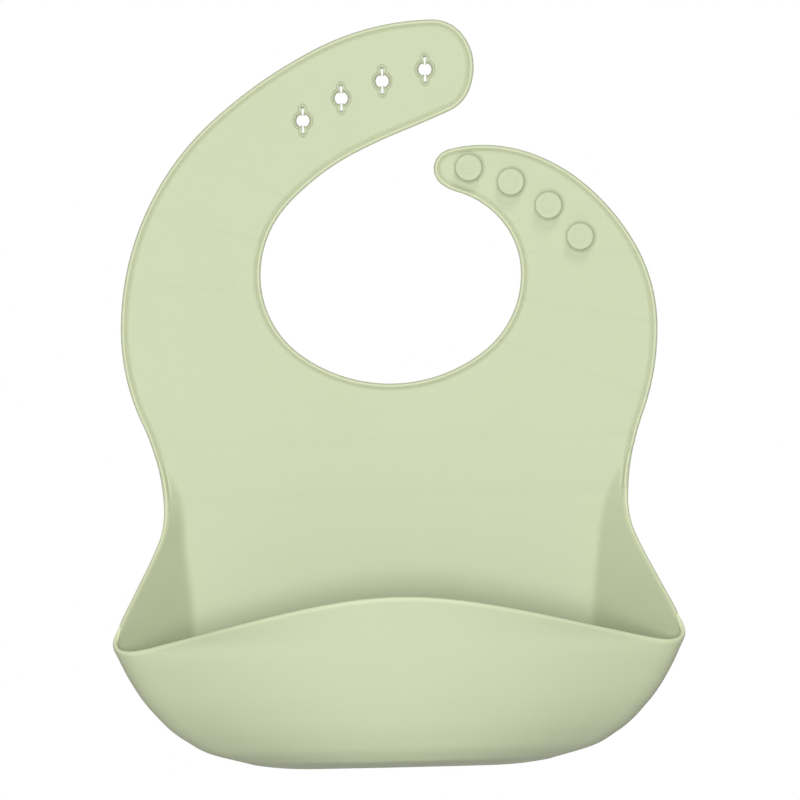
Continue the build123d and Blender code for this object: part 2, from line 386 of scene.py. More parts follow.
# ---------------------------------------------------------------- shell
def edge_profile(distance, bead_share, sheet, bead, groove):
    """Heights of the back and front faces at a distance from the free edge, above the back's plane.

    Both faces start at half the sheet's thickness and round over in a quarter ellipse. The front
    adds the bead, one cosine hump, and takes away the groove, a narrow bell curve beside it."""
    middle = sheet * 0.5
    back_share = np.clip(distance / BACK_ROUNDING, 0, 1)
    front_share = np.clip(distance / FRONT_ROUNDING, 0, 1)
    back = middle * (1 - np.sqrt(1 - (1 - back_share) ** 2))
    front = middle + (sheet - middle) * np.sqrt(1 - (1 - front_share) ** 2)
    hump = 0.5 + 0.5 * np.cos(np.pi * np.clip((distance - BEAD_PLACE) / BEAD_HALF, -1, 1))
    start = smooth(distance / BEAD_START)
    bell = np.exp(-((distance - GROOVE_PLACE) / GROOVE_HALF) ** 2)
    return back, front + bead_share * (bead * hump * start - groove * bell)


def bead_fade(heights, fade):
    """The bead's share of its height on the side edges: nothing at the fade's foot, whole at its top."""
    foot, rise = fade
    return smooth((heights + foot) / rise)


def without_repeats(face):
    """A face's corners, less those that follow an equal one."""
    return [k for n, k in enumerate(face) if k != face[n - 1]]


def shell(name, patch):
    """Gives a patch its thickness: a back and a front layer, each moved along the patch's own normals,
    welded at the free edge and closed by walls at seams and holes."""
    sizes = bpy.context.scene.bib_sizes
    points = np.concatenate(patch.points)
    distance = np.concatenate(patch.distance)
    bead = np.concatenate(patch.bead)
    keys = np.round(points / WELD).astype(np.int64)
    _, first, merged = np.unique(keys, axis=0, return_index=True, return_inverse=True)
    merged = merged.ravel()
    points, bead = points[first], bead[first]
    nearest = np.full(len(first), np.inf)
    np.minimum.at(nearest, merged, distance)
    faces = [without_repeats([int(merged[k]) for k in face]) for face in patch.faces]
    faces = [face for face in faces if len(face) > 2 and len(set(face)) == len(face)]

    single = bpy.data.meshes.new(name + "_layer")
    single.from_pydata(points, [], faces)
    normals = np.zeros(len(points) * 3)
    single.vertices.foreach_get("normal", normals)
    bpy.data.meshes.remove(single)
    normals = normals.reshape(-1, 3)
    back, front = edge_profile(nearest, bead, sizes.sheet / MM, sizes.bead / MM, sizes.groove / MM)
    count = len(points)
    layers = np.concatenate((points + normals * back[:, None], points + normals * front[:, None]))

    # A side that only one face has is at a seam, a hole or the free edge. The first two get a wall.
    sides = dict.fromkeys((a, b) for face in faces for a, b in zip(face, face[1:] + face[:1]))
    free = nearest < 1e-6
    walls = [
        [a, b, b + count, a + count] for a, b in sides
        if (b, a) not in sides and not (free[a] and free[b])
    ]
    top = np.arange(count) + count
    top[free] = np.flatnonzero(free)
    inner = [[int(top[k]) for k in face] for face in faces]
    outer = [face[::-1] for face in faces]
    walls = [without_repeats([k if k < count else int(top[k - count]) for k in wall]) for wall in walls]
    return make_piece(name, layers * MM, outer + inner + walls, np.concatenate((nearest, nearest)))


def make_piece(name, points, faces, edge_distance=None):
    """A smooth-shaded object at the origin from points in metres and faces, loose points removed."""
    used = np.zeros(len(points), bool)
    used[np.concatenate([np.array(face) for face in faces])] = True
    index = np.cumsum(used) - 1
    mesh = bpy.data.meshes.new(name)
    mesh.from_pydata(points[used], [], [[int(index[k]) for k in face] for face in faces])
    mesh.polygons.foreach_set("use_smooth", [True] * len(mesh.polygons))
    if edge_distance is not None:
        attribute = mesh.attributes.new("edge_distance", "FLOAT", "POINT")
        attribute.data.foreach_set("value", np.asarray(edge_distance)[used].astype(np.float32))
    mesh.set_sharp_from_angle(angle=np.radians(SHARP_ANGLE))
    mesh.update()
    piece = bpy.data.objects.new(name, mesh)
    bpy.context.scene.collection.objects.link(piece)
    return piece


# ---------------------------------------------------------------- materials
class Wire:
    """A shader value with arithmetic: each operation adds one Math node."""

    def __init__(self, shader, socket):
        self.shader, self.socket = shader, socket

    def _math(self, operation, a, b=None, clamp=False):
        values = {0: a} if b is None else {0: a, 1: b}
        return self.shader.node("ShaderNodeMath", values, operation=operation, use_clamp=clamp)

    def __add__(self, other):
        return self._math("ADD", self, other)

    __radd__ = __add__

    def __sub__(self, other):
        return self._math("SUBTRACT", self, other)

    def __rsub__(self, other):
        return self._math("SUBTRACT", other, self)

    def __mul__(self, other):
        return self._math("MULTIPLY", self, other)

    __rmul__ = __mul__

    def __truediv__(self, other):
        return self._math("DIVIDE", self, other)

    def clamp(self):
        return self._math("ADD", self, 0.0, clamp=True)


class Shader:
    """The nodes of one material, or of the world, which is their owner."""

    def __init__(self, owner):
        self.owner = owner
        owner.use_nodes = True
        self.tree = owner.node_tree
        self.tree.nodes.clear()

    def node(self, kind, values=None, output=0, **settings):
        """Adds a node: its settings first, then its sockets' values or links."""
        made = self.tree.nodes.new(kind)
        for key, value in settings.items():
            setattr(made, key, value)
        for key, value in (values or {}).items():
            if isinstance(value, Wire):
                self.tree.links.new(value.socket, made.inputs[key])
            else:
                made.inputs[key].default_value = value
        return Wire(self, made.outputs[output]) if made.outputs else None

    def mix(self, share, first, second):
        """A colour between two others."""
        return self.node(
            "ShaderNodeMix", {0: share, 6: first, 7: second}, output=2, data_type="RGBA", clamp_factor=True)


HIGHLIGHT_AND_POLISH_REACH = 2.4  # distance from the free edge over which the polish and the painted highlight run out
CLOUD_SHARE = 0.55  # how far the clouds and the specks move the tone between its two colours
SPECK_SHARE = 0.16


def opaque(colour, shade=1.0):
    """A colour, darkened or lightened by a factor, with full alpha."""
    return (*[min(1.0, channel * shade) for channel in colour], 1.0)


def silicone(name, grain=1.0, painted_highlight_and_gloss=0.0):
    """Moulded silicone: a satin skin with fine blasted grain, slow cloudy variation and faint flow
    marks, smoother over the bead where the mould has its polish, and a little lighter there, which is a
    painted highlight."""
    colours = bpy.context.scene.bib_colours
    shader = Shader(bpy.data.materials.new(name))
    place = shader.node("ShaderNodeTexCoord", output="Object")
    cloud, speck, skin, wave = (
        shader.node("ShaderNodeTexNoise", {
            "Vector": place, "Scale": scale, "Detail": detail, "Roughness": roughness})
        for scale, detail, roughness in (
            (18.0, 3.0, 0.55), (900.0, 2.0, 0.6), (2600.0, 2.0, 0.5), (42.0, 1.0, 0.5)))
    distance = shader.node("ShaderNodeAttribute", attribute_name="edge_distance", output="Fac")
    # Painted highlight: near the free edge this mask lightens the bead's colour; it also lowers the
    # roughness there, for the real polish.
    polish_and_painted_highlight = (1.0 - distance / HIGHLIGHT_AND_POLISH_REACH).clamp() * painted_highlight_and_gloss
    tone = (cloud - 0.5) * CLOUD_SHARE + (speck - 0.5) * SPECK_SHARE + 0.5
    body = shader.mix(tone.clamp(), opaque(colours.silicone, 0.965), opaque(colours.silicone, 1.035))
    # Painted highlight: the bead's colour is mixed towards the lighter highlight colour.
    colour = shader.mix(polish_and_painted_highlight, body, opaque(colours.polish_and_painted_highlight))
    roughness = 0.50 + (cloud - 0.5) * 0.14 + (speck - 0.5) * 0.08 - polish_and_painted_highlight * 0.12
    fine = shader.node("ShaderNodeBump", {"Height": skin, "Distance": 0.00004, "Strength": 0.35 * grain})
    normal = shader.node(
        "ShaderNodeBump", {"Height": wave, "Distance": 0.0007, "Strength": 0.16, "Normal": fine})
    surface = shader.node("ShaderNodeBsdfPrincipled", {
        "Base Color": colour, "Roughness": roughness, "Normal": normal, "IOR": 1.42,
        "Subsurface Weight": 0.12, "Subsurface Radius": (0.010, 0.012, 0.006), "Subsurface Scale": 0.35,
        "Sheen Weight": 0.08, "Sheen Roughness": 0.5,
    })
    shader.node("ShaderNodeOutputMaterial", {"Surface": surface})
    return shader.owner


def finish_piece(piece, material, nodes):
    """Gives a piece its material, and hides the CAD nodes that it stands for."""
    piece.data.materials.append(material)
    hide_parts(*nodes)


def sheet_material():
    """The silicone that every piece of the sheet shares, made on first use."""
    # The sheet's silicone gets the painted highlight on its bead, as well as the smoother polish there.
    return bpy.data.materials.get("sheet_silicone") or silicone("sheet_silicone", painted_highlight_and_gloss=1.0)


# ---------------------------------------------------------------- sheet pieces
WAIST_LINE = np.array([1.0, 0.0])
WAIST_ROWS = 25


def waist_seam(height):
    """A level seam across the bib, from the left edge to the right."""
    return Seam(np.array([0.0, height]), WAIST_LINE, both_ways=True)


def joint_named(name):
    """The frame's joint of that name."""
    return next(joint for joint in frame["joints"] if joint["name"] == name)


def waist_fold_height():
    """Height of the waist fold's axis, in millimetres."""
    return joint_named("waist_fold")["pos_m"][2] / MM


class BIB_OT_chest(bpy.types.Operator):
    """Add the flat chest panel with the lower half of the neck opening"""

    bl_idname = "bib.chest"
    bl_label = "Chest panel"

    def execute(self, context):
        sizes = context.scene.bib_sizes
        bend, waist = sizes.bend / MM, sizes.waist_bend / MM
        left = strap_seam(joint_line("eyelet_strap_bend"), bend)
        right = strap_seam(joint_line("stud_strap_bend"), -bend)
        foot = waist_seam(waist_fold_height() + waist)
        patch = Patch()
        right_side = edge_band(patch, foot.outer, right.outer, -WAIST_LINE, -right.direction)
        neck = edge_band(patch, right.inner, left.inner, right.direction, left.direction)
        left_side = edge_band(patch, left.outer, foot.inner, -left.direction, WAIST_LINE)
        patch.fill(np.concatenate((right_side, neck, left_side)))
        piece = shell("chest", patch)
        finish_piece(piece, sheet_material(), ["chest_panel"])
        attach(piece, "chest")
        return {"FINISHED"}


class BIB_OT_waist(bpy.types.Operator):
    """Add the stretch of sheet that folds at the waist"""

    bl_idname = "bib.waist"
    bl_label = "Waist fold"

    def execute(self, context):
        half = context.scene.bib_sizes.waist_bend / MM
        fold = waist_fold_height()
        heights = fold + half * np.linspace(1, -1, WAIST_ROWS)
        patch = Patch()
        for way in (1, -1):
            points, distance = side_rows(heights, way)
            patch.grid(points[::way], distance[::way], bead_fade(heights[::way, None], WAIST_BEAD))
        piece = shell("waist", patch)
        finish_piece(piece, sheet_material(), ["waist_flex"])
        start, end = ((0, 0, (fold + half * way) * MM) for way in (1, -1))
        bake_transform(piece)
        return {"FINISHED"}


BEND_SEAMS = 19  # seams over one bend of a strap, and from one bend to the next
BETWEEN_SEAMS = 13


def between_lines(first, last, count):
    """Seams that fan from one bend's far side to the next bend's near side, as angle and shift."""
    shares = np.linspace(0, 1, count)
    return [(first[0] + (last[0] - first[0]) * s, first[1] + (last[1] - first[1]) * s) for s in shares]


def strap_pieces(strap, outward, nodes):
    """The two bending stretches of a strap. outward is +1 where angles grow towards the strap's end."""
    bend = bpy.context.scene.bib_sizes.bend / MM
    root, far = joint_line(f"{strap}_bend"), joint_line(f"{strap}_curl")
    near_side, far_side = -bend * outward, bend * outward
    shifts = np.linspace(near_side, far_side, BEND_SEAMS)
    fan = between_lines((root, far_side), (far, near_side), BETWEEN_SEAMS)
    half = BETWEEN_SEAMS // 2
    lines = ([(root, s) for s in shifts[:-1]] + fan[:half + 1], fan[half:] + [(far, s) for s in shifts[1:]])
    bodies = (("chest", f"{strap}_middle"), (f"{strap}_middle", f"{strap}_end"))
    for number, (part, (first, second), angle) in enumerate(zip(lines, bodies, (root, far))):
        patch = ribbon([strap_seam(*line) for line in part])
        piece = shell(f"{strap}_{('root', 'curl')[number]}", patch)
        finish_piece(piece, sheet_material(), nodes[number])
        across = np.array([-unit(angle)[1], unit(angle)[0]])
        start, end = ((way * across[0] * MM, 0, way * across[1] * MM) for way in (near_side, far_side))
        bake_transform(piece)


class BIB_OT_straps(bpy.types.Operator):
    """Add the bending stretches of both straps"""

    bl_idname = "bib.straps"
    bl_label = "Strap bends"

    def execute(self, context):
        for strap, outward in (("eyelet_strap", -1), ("stud_strap", 1)):
            strap_pieces(strap, outward, ([f"{strap}_root_flex"], [f"{strap}_middle", f"{strap}_flex"]))
        return {"FINISHED"}


# ---------------------------------------------------------------- eyelets
EYELET_NAMES = [f"eyelet_rim_{number}" for number in range(1, 5)]
STUD_NAMES = [f"stud_{number}" for number in range(1, 5)]
HOLE_RADIUS = 3.0  # of an eyelet's round hole at the front
SLIT_HALF = 0.4  # half width of its slit
BULB_RADIUS = 0.62  # of the slit's round ends
SLIT_REACH = 5.45  # from the hole's centre to the slit's ends
LIP_ROUNDING = 1.9  # half width and end radius of the rim round the slit
EYELET_CROWDING = 0.43  # how much closer the angles lie at an eyelet's top and bottom


def node_centre(node):
    """Middle of a CAD node's box, across and up, in millimetres."""
    low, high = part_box(node)
    return np.array([(low.x + high.x) / 2, (low.z + high.z) / 2]) / MM


def eyelet_angles(count=176):
    """Angles round an eyelet, closest together at the top and bottom, where the slit's ends are."""
    even = np.arange(count) / count * 2 * np.pi
    return even + EYELET_CROWDING * np.sin(2 * even)


def keyhole(angles, circle, slot, end, length):
    """Radius of a keyhole outline: the furthest of a circle, an upright slot and its round ends."""
    across, up = np.abs(np.cos(angles)), np.abs(np.sin(angles))
    side = slot / np.maximum(across, 1e-9)
    side = np.where(side * up <= length - end, side, 0)
    centre = length - end
    reach = centre * up
    inside = reach ** 2 - centre ** 2 + end ** 2
    ball = np.where(inside > 0, reach + np.sqrt(np.maximum(inside, 0)), 0)
    return np.maximum(circle, np.maximum(side, ball))


def eyelet_outside(angles):
    """Outer outline of an eyelet's rim, as its CAD node has it."""
    low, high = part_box(EYELET_NAMES[0])
    circle, length = (high.x - low.x) / 2 / MM, (high.z - low.z) / 2 / MM
    return keyhole(angles, circle, LIP_ROUNDING, LIP_ROUNDING, length)


def around(centre, radius, angles):
    """Points at a radius and angle round a centre in the sheet's plane."""
    return centre + radius[..., None] * np.stack((np.cos(angles), np.sin(angles)), axis=-1)


class BIB_OT_strap_ends(bpy.types.Operator):
    """Add the flat ends of the straps, one with cut-outs for its eyelets"""

    bl_idname = "bib.strap_ends"
    bl_label = "Strap ends"

    def execute(self, context):
        bend = context.scene.bib_sizes.bend / MM
        angles = eyelet_angles()
        holes = [around(node_centre(node), eyelet_outside(angles), angles)[::-1] for node in EYELET_NAMES]
        seam = strap_seam(joint_line("eyelet_strap_curl"), -bend)
        patch = Patch()
        rim = edge_band(patch, seam.inner, seam.outer, seam.direction, -seam.direction)
        patch.fill(rim, holes)
        piece = shell("eyelet_strap_end_panel", patch)
        finish_piece(piece, sheet_material(), ["eyelet_strap_end"])
        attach(piece, "eyelet_strap_end")

        seam = strap_seam(joint_line("stud_strap_curl"), bend)
        patch = Patch()
        patch.fill(edge_band(patch, seam.outer, seam.inner, -seam.direction, seam.direction))
        piece = shell("stud_strap_end_panel", patch)
        finish_piece(piece, sheet_material(), ["stud_strap_end"])
        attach(piece, "stud_strap_end")
        return {"FINISHED"}


def turned(centre, angles, radius, height):
    """Points of a section turned round a centre: rows go round, columns along the section."""
    plane = around(centre, radius, np.broadcast_to(angles[:, None], radius.shape))
    return np.stack((plane[..., 0], -np.broadcast_to(height, radius.shape), plane[..., 1]), axis=-1)


def closed_grid(shape, columns_too):
    """Point numbers of a grid that closes round its rows, and its columns too if asked, and its quads."""
    index = np.arange(shape[0] * shape[1]).reshape(shape)
    index = np.pad(index, ((0, 1), (0, int(columns_too))), mode="wrap")
    quads = np.stack((index[:-1, :-1], index[1:, :-1], index[1:, 1:], index[:-1, 1:]), axis=-1)
    return index, quads.reshape(-1, 4).tolist()


class BIB_OT_eyelets(bpy.types.Operator):
    """Add the four keyhole eyelet rims"""

    bl_idname = "bib.eyelets"
    bl_label = "Eyelet rims"

    def execute(self, context):
        sheet = context.scene.bib_sizes.sheet / MM
        angles = eyelet_angles()
        inside = keyhole(angles, HOLE_RADIUS, SLIT_HALF, BULB_RADIUS, SLIT_REACH)
        outside = eyelet_outside(angles)
        # The section's share of the way in and its height: a fine groove, up over the lip, down the
        # hole, which narrows towards the back, and out along the back.
        section = np.array((
            (0.0, 0.0), (0.0, sheet), (0.05, sheet - 0.2), (0.13, sheet - 0.16), (0.24, sheet + 0.2),
            (0.36, sheet + 0.35), (0.5, sheet + 0.38), (0.66, sheet + 0.32), (0.82, sheet + 0.1),
            (0.95, sheet - 0.2), (1.14, sheet - 0.75), (1.28, sheet - 1.2), (1.28, 0.3), (1.2, 0.1),
            (1.05, 0.0),
        ))
        material = silicone("eyelet_silicone", grain=0.7)
        for node in EYELET_NAMES:
            radius = outside[:, None] + (inside - outside)[:, None] * section[:, 0]
            points = turned(node_centre(node), angles, radius, section[:, 1])
            _, quads = closed_grid(radius.shape, True)
            piece = make_piece(node + "_moulding", points.reshape(-1, 3) * MM, quads)
            finish_piece(piece, material, [node])
            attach(piece, "eyelet_strap_end")
        return {"FINISHED"}


# ---------------------------------------------------------------- studs
HEAD_THICKNESS = 2.0
STUD_COLUMNS = 72


def stud_profile():
    """Radius and height of a stud's outline, from the middle of its foot to the middle of its head:
    a stem that flares into the sheet, a flat head with soft edges and one shallow ring on its face."""
    low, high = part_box(STUD_NAMES[0])
    head, top = (high.x - low.x) / 2 / MM, -low.y / MM
    under = top - HEAD_THICKNESS
    return np.array((
        (0, 0.02), (2.0, 0.02), (2.02, 0.4), (3.5, 1.72), (3.35, 1.86), (2.75, 2.05), (2.3, 2.4),
        (2.05, 2.9), (2.0, 3.5), (2.02, under - 0.4), (2.25, under - 0.1), (2.7, under),
        (head - 0.7, under + 0.03), (head - 0.3, under + 0.16), (head - 0.07, under + 0.5),
        (head, under + 0.95), (head - 0.02, under + 1.5), (head - 0.12, under + 1.78),
        (head - 0.32, under + 1.95),
        (head - 0.58, top), (head - 0.7, top), (2.9, top), (2.78, top - 0.02), (2.6, top - 0.08),
        (2.42, top - 0.02), (2.3, top), (1.2, top), (0, top),
    ))


class BIB_OT_studs(bpy.types.Operator):
    """Add the four mushroom studs"""

    bl_idname = "bib.studs"
    bl_label = "Studs"

    def execute(self, context):
        profile = stud_profile()
        angles = np.arange(STUD_COLUMNS) / STUD_COLUMNS * 2 * np.pi
        material = silicone("stud_silicone", grain=0.8)
        for node in STUD_NAMES:
            centre = node_centre(node)
            radius = np.broadcast_to(profile[1:-1, 0], (len(angles), len(profile) - 2))
            points = turned(centre, angles, radius, profile[1:-1, 1])
            index, quads = closed_grid(radius.shape, False)
            foot, crown = radius.size, radius.size + 1
            poles = np.array([[centre[0], -profile[end, 1], centre[1]] for end in (0, -1)])
            fans = [[foot, int(b), int(a)] for a, b in zip(index[:-1, 0], index[1:, 0])]
            fans += [[crown, int(a), int(b)] for a, b in zip(index[:-1, -1], index[1:, -1])]
            points = np.concatenate((points.reshape(-1, 3), poles))
            piece = make_piece(node + "_moulding", points * MM, quads + fans)
            finish_piece(piece, material, [node])
            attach(piece, "stud_strap_end")
        return {"FINISHED"}


# ---------------------------------------------------------------- pocket
def level_curve(column, heights):
    """A pocket size at each height: a smooth curve through the levels (Catmull-Rom, one per column)."""
    z, value = POCKET_LEVELS[::-1, 0], POCKET_LEVELS[::-1, column]
    slope = np.gradient(value, z)
    heights = np.clip(heights, z[0], z[-1])
    k = np.clip(np.searchsorted(z, heights) - 1, 0, len(z) - 2)
    step = z[k + 1] - z[k]
    t = (heights - z[k]) / step
    h00, h10 = (1 + 2 * t) * (1 - t) ** 2, t * (1 - t) ** 2
    h01, h11 = t * t * (3 - 2 * t), t * t * (t - 1)
    return h00 * value[k] + h10 * step * slope[k] + h01 * value[k + 1] + h11 * step * slope[k + 1]


CORNER_RUN = 13.0  # length on each side of a mouth corner that its rounding takes up
CORNER_SAVING = 0.34  # share of that length saved by cutting the corner
FOLD_RADIUS = 7.0  # rounding of the fold between the flat back and a slanted side
FOLD_SHARE = 0.48  # most of a side's length that half of its fold takes up
FRONT_BOW = 2.15  # how the front bows: 2 is a parabola, more is squarer
FRONT_CURVE = 1.02  # length of the bowed front over its width
SIDE_LINES = 40  # lines from the side edge, level to the back's centre
FAN_LINES = 26  # lines from the corner's top that end down the back's centre
FOOT_LINES = 60  # lines that end along the foot, at the back and again at the front
FAN_REACH = 8.0  # length along the mouth's edge that the fan starts from
INNER_ROWS = 64  # rows past those near the edge
LINE_DISTANCE = np.concatenate((EDGE_ROWS, np.full(INNER_ROWS, DEEP)))
SOLE_ROWS = 17
SOLE_TIP = 14.0  # depth of the sole, towards its tips, under which it hangs less
SOLE_LEAN = 0.72  # below 1, the sole hangs lowest nearer the back than its middle
RIM_CUBIC = 1.72  # slope and bend of the rim's fall, and how sharply it runs out level
RIM_SHARPNESS = 30.0
OUTLINE_TOP = 60.0  # the sheet's outline is read up to this far above the waist
SIDE_POINTS, TURN_POINTS, RIM_POINTS = 120, 80, 400


def half_width(heights, way):
    """Half width at the edge: the sheet's own outline down to the waist, the levels' curve below it.
    way is 1 for the right side and -1 for the left."""
    points = EDGE.points[::way]
    rising = points[:np.argmax(points[:, 1] > WAIST_Z + OUTLINE_TOP)]
    outline = np.interp(heights, rising[:, 1], abs(rising[:, 0]))
    return np.where(heights > WAIST_Z, outline, level_curve(1, heights))


def pocket_section(heights, way):
    """Sizes of the half section at each height: the corner, the directions to it over the side and
    from it along the front, its rounding's run, the back's half width, the front's depth, and the
    side's length. The corner stands out past the edge by a quarter of the run along both."""
    half = half_width(heights, way)
    side, front, back = (level_curve(column, heights) for column in (2, 3, 4))
    if way < 0:
        fade = smooth((LEFT_FOLD_TOP - heights) / LEFT_FOLD_FADE)
        fade = fade * smooth((heights - LEFT_FOLD_FOOT) / LEFT_FOLD_FADE)
        back = back + LEFT_FOLD_OUT * fade
    run = CORNER_RUN * smooth((CORNER_TOP_Z + CORNER_AHEAD - heights) / CORNER_GROWTH)
    slant = normalised(np.stack((half - back, -side), axis=-1))
    steep = FRONT_BOW * (front - side) / half
    inward = normalised(np.stack((-np.ones_like(steep), -steep), axis=-1))
    corner = np.stack((half, -side), axis=-1) + run[..., None] * (slant - inward) / 4
    slant = corner - np.stack((back, np.zeros_like(back)), axis=-1)
    side_length = np.linalg.norm(slant, axis=-1)
    slant /= side_length[..., None]
    return corner, slant, inward, run, back, front, side_length


def half_lengths(heights, way):
    """Lengths along the section from the corner to the back's centre and to the front's centre."""
    corner, _, inward, run, back, _, side_length = pocket_section(heights, way)
    joined = corner[..., 0] + run * inward[..., 0]
    return back + side_length - CORNER_SAVING * run, FRONT_CURVE * joined + (1 - CORNER_SAVING) * run


def pocket_point(place, heights, way):
    """A point of the pocket's half: place is the length along the section from the corner, below 0
    over the side to the back's centre and above 0 over the front to the front's centre.

    Each section is a flat back, an arc at the fold, a straight slanted side, a quadratic curve at
    the corner and a front bowed as a power of the distance from the centre line."""
    corner, slant, inward, run, back, front, side_length = pocket_section(heights, way)
    front_length = half_lengths(heights, way)[1]
    wide = (..., None)
    bent_run = (1 - CORNER_SAVING) * run
    along = CORNER_SAVING * run - place
    angle = np.arctan2(-slant[..., 1], slant[..., 0])
    tangent = np.minimum(FOLD_RADIUS * np.tan(angle / 2), FOLD_SHARE * side_length)
    radius = tangent / np.maximum(np.tan(angle / 2), 1e-6)
    past = np.clip((along - side_length + tangent) / (2 * tangent + 1e-9), 0, 1)
    turned = angle * (1 - past)
    fold = np.stack((back - tangent + radius * np.sin(turned), -radius * (1 - np.cos(turned))), axis=-1)
    flat_x = np.maximum(back - (along - side_length), 0)
    flat = np.stack((flat_x, np.zeros_like(flat_x)), axis=-1)
    at_back = np.where((past < 1)[wide], fold, flat)
    at_side = np.where((past > 0)[wide], at_back, corner - along[wide] * slant)

    joined = corner + run[wide] * inward
    share = np.clip((front_length - place) / (front_length - bent_run), 0, 1)
    bowed = (front + joined[..., 1]) * share ** FRONT_BOW - front
    at_front = np.stack((joined[..., 0] * share, bowed), axis=-1)

    t = (0.5 + 0.5 * np.clip(place / np.maximum(bent_run, 1e-6), -1, 1))[wide]
    bent = (1 - t) ** 2 * (corner - run[wide] * slant) + 2 * t * (1 - t) * corner + t * t * joined
    at = np.where((place < 0)[wide], at_side, at_front)
    at = np.where((abs(place) < bent_run)[wide], bent, at)
    near_back = np.exp(-(at[..., 1] / HEEL_DEPTH) ** 2)
    heel = HEEL * smooth((HEEL_TOP_Z - heights) / HEEL_RISE) ** 2 * near_back
    return np.stack((way * at[..., 0], at[..., 1] - heel, heights), axis=-1)


def front_rim(across):
    """Height of the front rim at a distance from the centre line: a wide arch, a cubic that falls from
    the centre line and runs out level beside the corners, by a soft minimum of the cubic and 1."""
    share = np.abs(across) / RIM_REACH
    cubic = share ** 2 * (RIM_CUBIC - (RIM_CUBIC - 1) * share)
    softened = np.log(np.exp(-RIM_SHARPNESS * cubic) + np.exp(-RIM_SHARPNESS)) / RIM_SHARPNESS
    return RIM_TOP_Z + RIM_FALL * softened


def mouth_path(top):
    """The mouth's right half as place and height: down the side edge, round the corner in a quadratic
    curve, along the front rim to the centre line. Returns dense points and their lengths."""
    level = np.array([CORNER_FOOT_Z])
    share = np.linspace(CORNER_ALONG / half_lengths(level, 1)[1][0], 1, RIM_POINTS)
    rim_z = front_rim(level_curve(1, level)[0] * (1 - share))
    rim = np.stack((share * half_lengths(rim_z, 1)[1], rim_z), axis=-1)
    slope = (rim[1] - rim[0]) / (rim[1, 0] - rim[0, 0])
    turn_in = np.array([0.0, rim[0, 1] - slope[1] * CORNER_ALONG])
    t = np.linspace(0, 1, TURN_POINTS)[:-1, None]
    start = np.array([0.0, CORNER_TOP_Z])
    rounding = (1 - t) ** 2 * start + 2 * t * (1 - t) * turn_in + t * t * rim[0]
    side = np.stack((np.zeros(SIDE_POINTS), np.linspace(top, CORNER_TOP_Z, SIDE_POINTS)), axis=-1)[:-1]
    path = np.concatenate((side, rounding, rim))
    lengths = np.concatenate(([0], np.cumsum(np.linalg.norm(np.diff(path, axis=0), axis=1))))
    return path, lengths


def carried_on(near, end):
    """The values near the edge, carried on to an end in even steps."""
    last = near[:, -1:]
    return np.concatenate((near, last + (end - last) * (np.arange(1, INNER_ROWS + 1) / INNER_ROWS)), axis=1)


def side_rows(heights, way):
    """Level rows over the side and back, from the edge to the centre: points and distances."""
    back_length, _ = half_lengths(heights, way)
    near = np.broadcast_to(EDGE_ROWS, (len(heights), len(EDGE_ROWS)))
    place = carried_on(near, back_length[:, None])
    wide_heights = np.broadcast_to(heights[:, None], place.shape)
    return pocket_point(-place, wide_heights, way), np.broadcast_to(LINE_DISTANCE, place.shape)


def pocket_half(top, way):
    """One half of the pocket's walls as a grid: lines leave the mouth's edge, level from the side,
    fanned out round the corner and upright from the front, and end at the back's centre or the foot.

    Along a line both the height and the share of the section change evenly. The share is 0 at the
    back's centre, 1 at the corner and 2 at the front's centre. Returns points, distances from the
    edge and heights."""
    path, lengths = mouth_path(top)
    side_end = lengths[SIDE_POINTS - 1]
    turn_end = side_end + FAN_REACH
    at = np.concatenate((
        np.linspace(0, side_end, SIDE_LINES, endpoint=False),
        np.linspace(side_end, turn_end, FAN_LINES + FOOT_LINES, endpoint=False),
        np.linspace(turn_end, lengths[-1], FOOT_LINES + 1)))
    start = read_off(at, lengths, path)
    tangent = normalised(read_off(at, lengths, np.gradient(path, lengths, axis=0)))
    inward = np.stack((tangent[:, 1], -tangent[:, 0]), axis=-1)

    end_share = np.concatenate((
        np.zeros(SIDE_LINES + FAN_LINES), np.linspace(0, 2, 2 * FOOT_LINES + 1)))
    end_z = np.concatenate((
        start[:SIDE_LINES, 1], np.linspace(CORNER_TOP_Z, FOOT_Z, FAN_LINES, endpoint=False),
        np.full(2 * FOOT_LINES + 1, FOOT_Z)))
    back_length, front_length = half_lengths(start[:, 1], way)
    start_share = 1 + start[:, 0] / front_length
    scale = np.where(end_share < 1, back_length, front_length)
    line = np.stack(((end_share - start_share) * scale, end_z - start[:, 1]), axis=-1)
    whole = np.linalg.norm(line, axis=1)
    facing = np.sum(line / whole[:, None] * inward, axis=1)
    near = EDGE_ROWS / (facing * whole)[:, None]
    share = carried_on(near, 1)
    z = start[:, 1:] + share * (end_z - start[:, 1])[:, None]
    section = start_share[:, None] + share * (end_share - start_share)[:, None] - 1
    back_length, front_length = half_lengths(z, way)
    place = np.where(section < 0, section * back_length, section * front_length)
    return pocket_point(place, z, way), np.broadcast_to(LINE_DISTANCE, z.shape), z


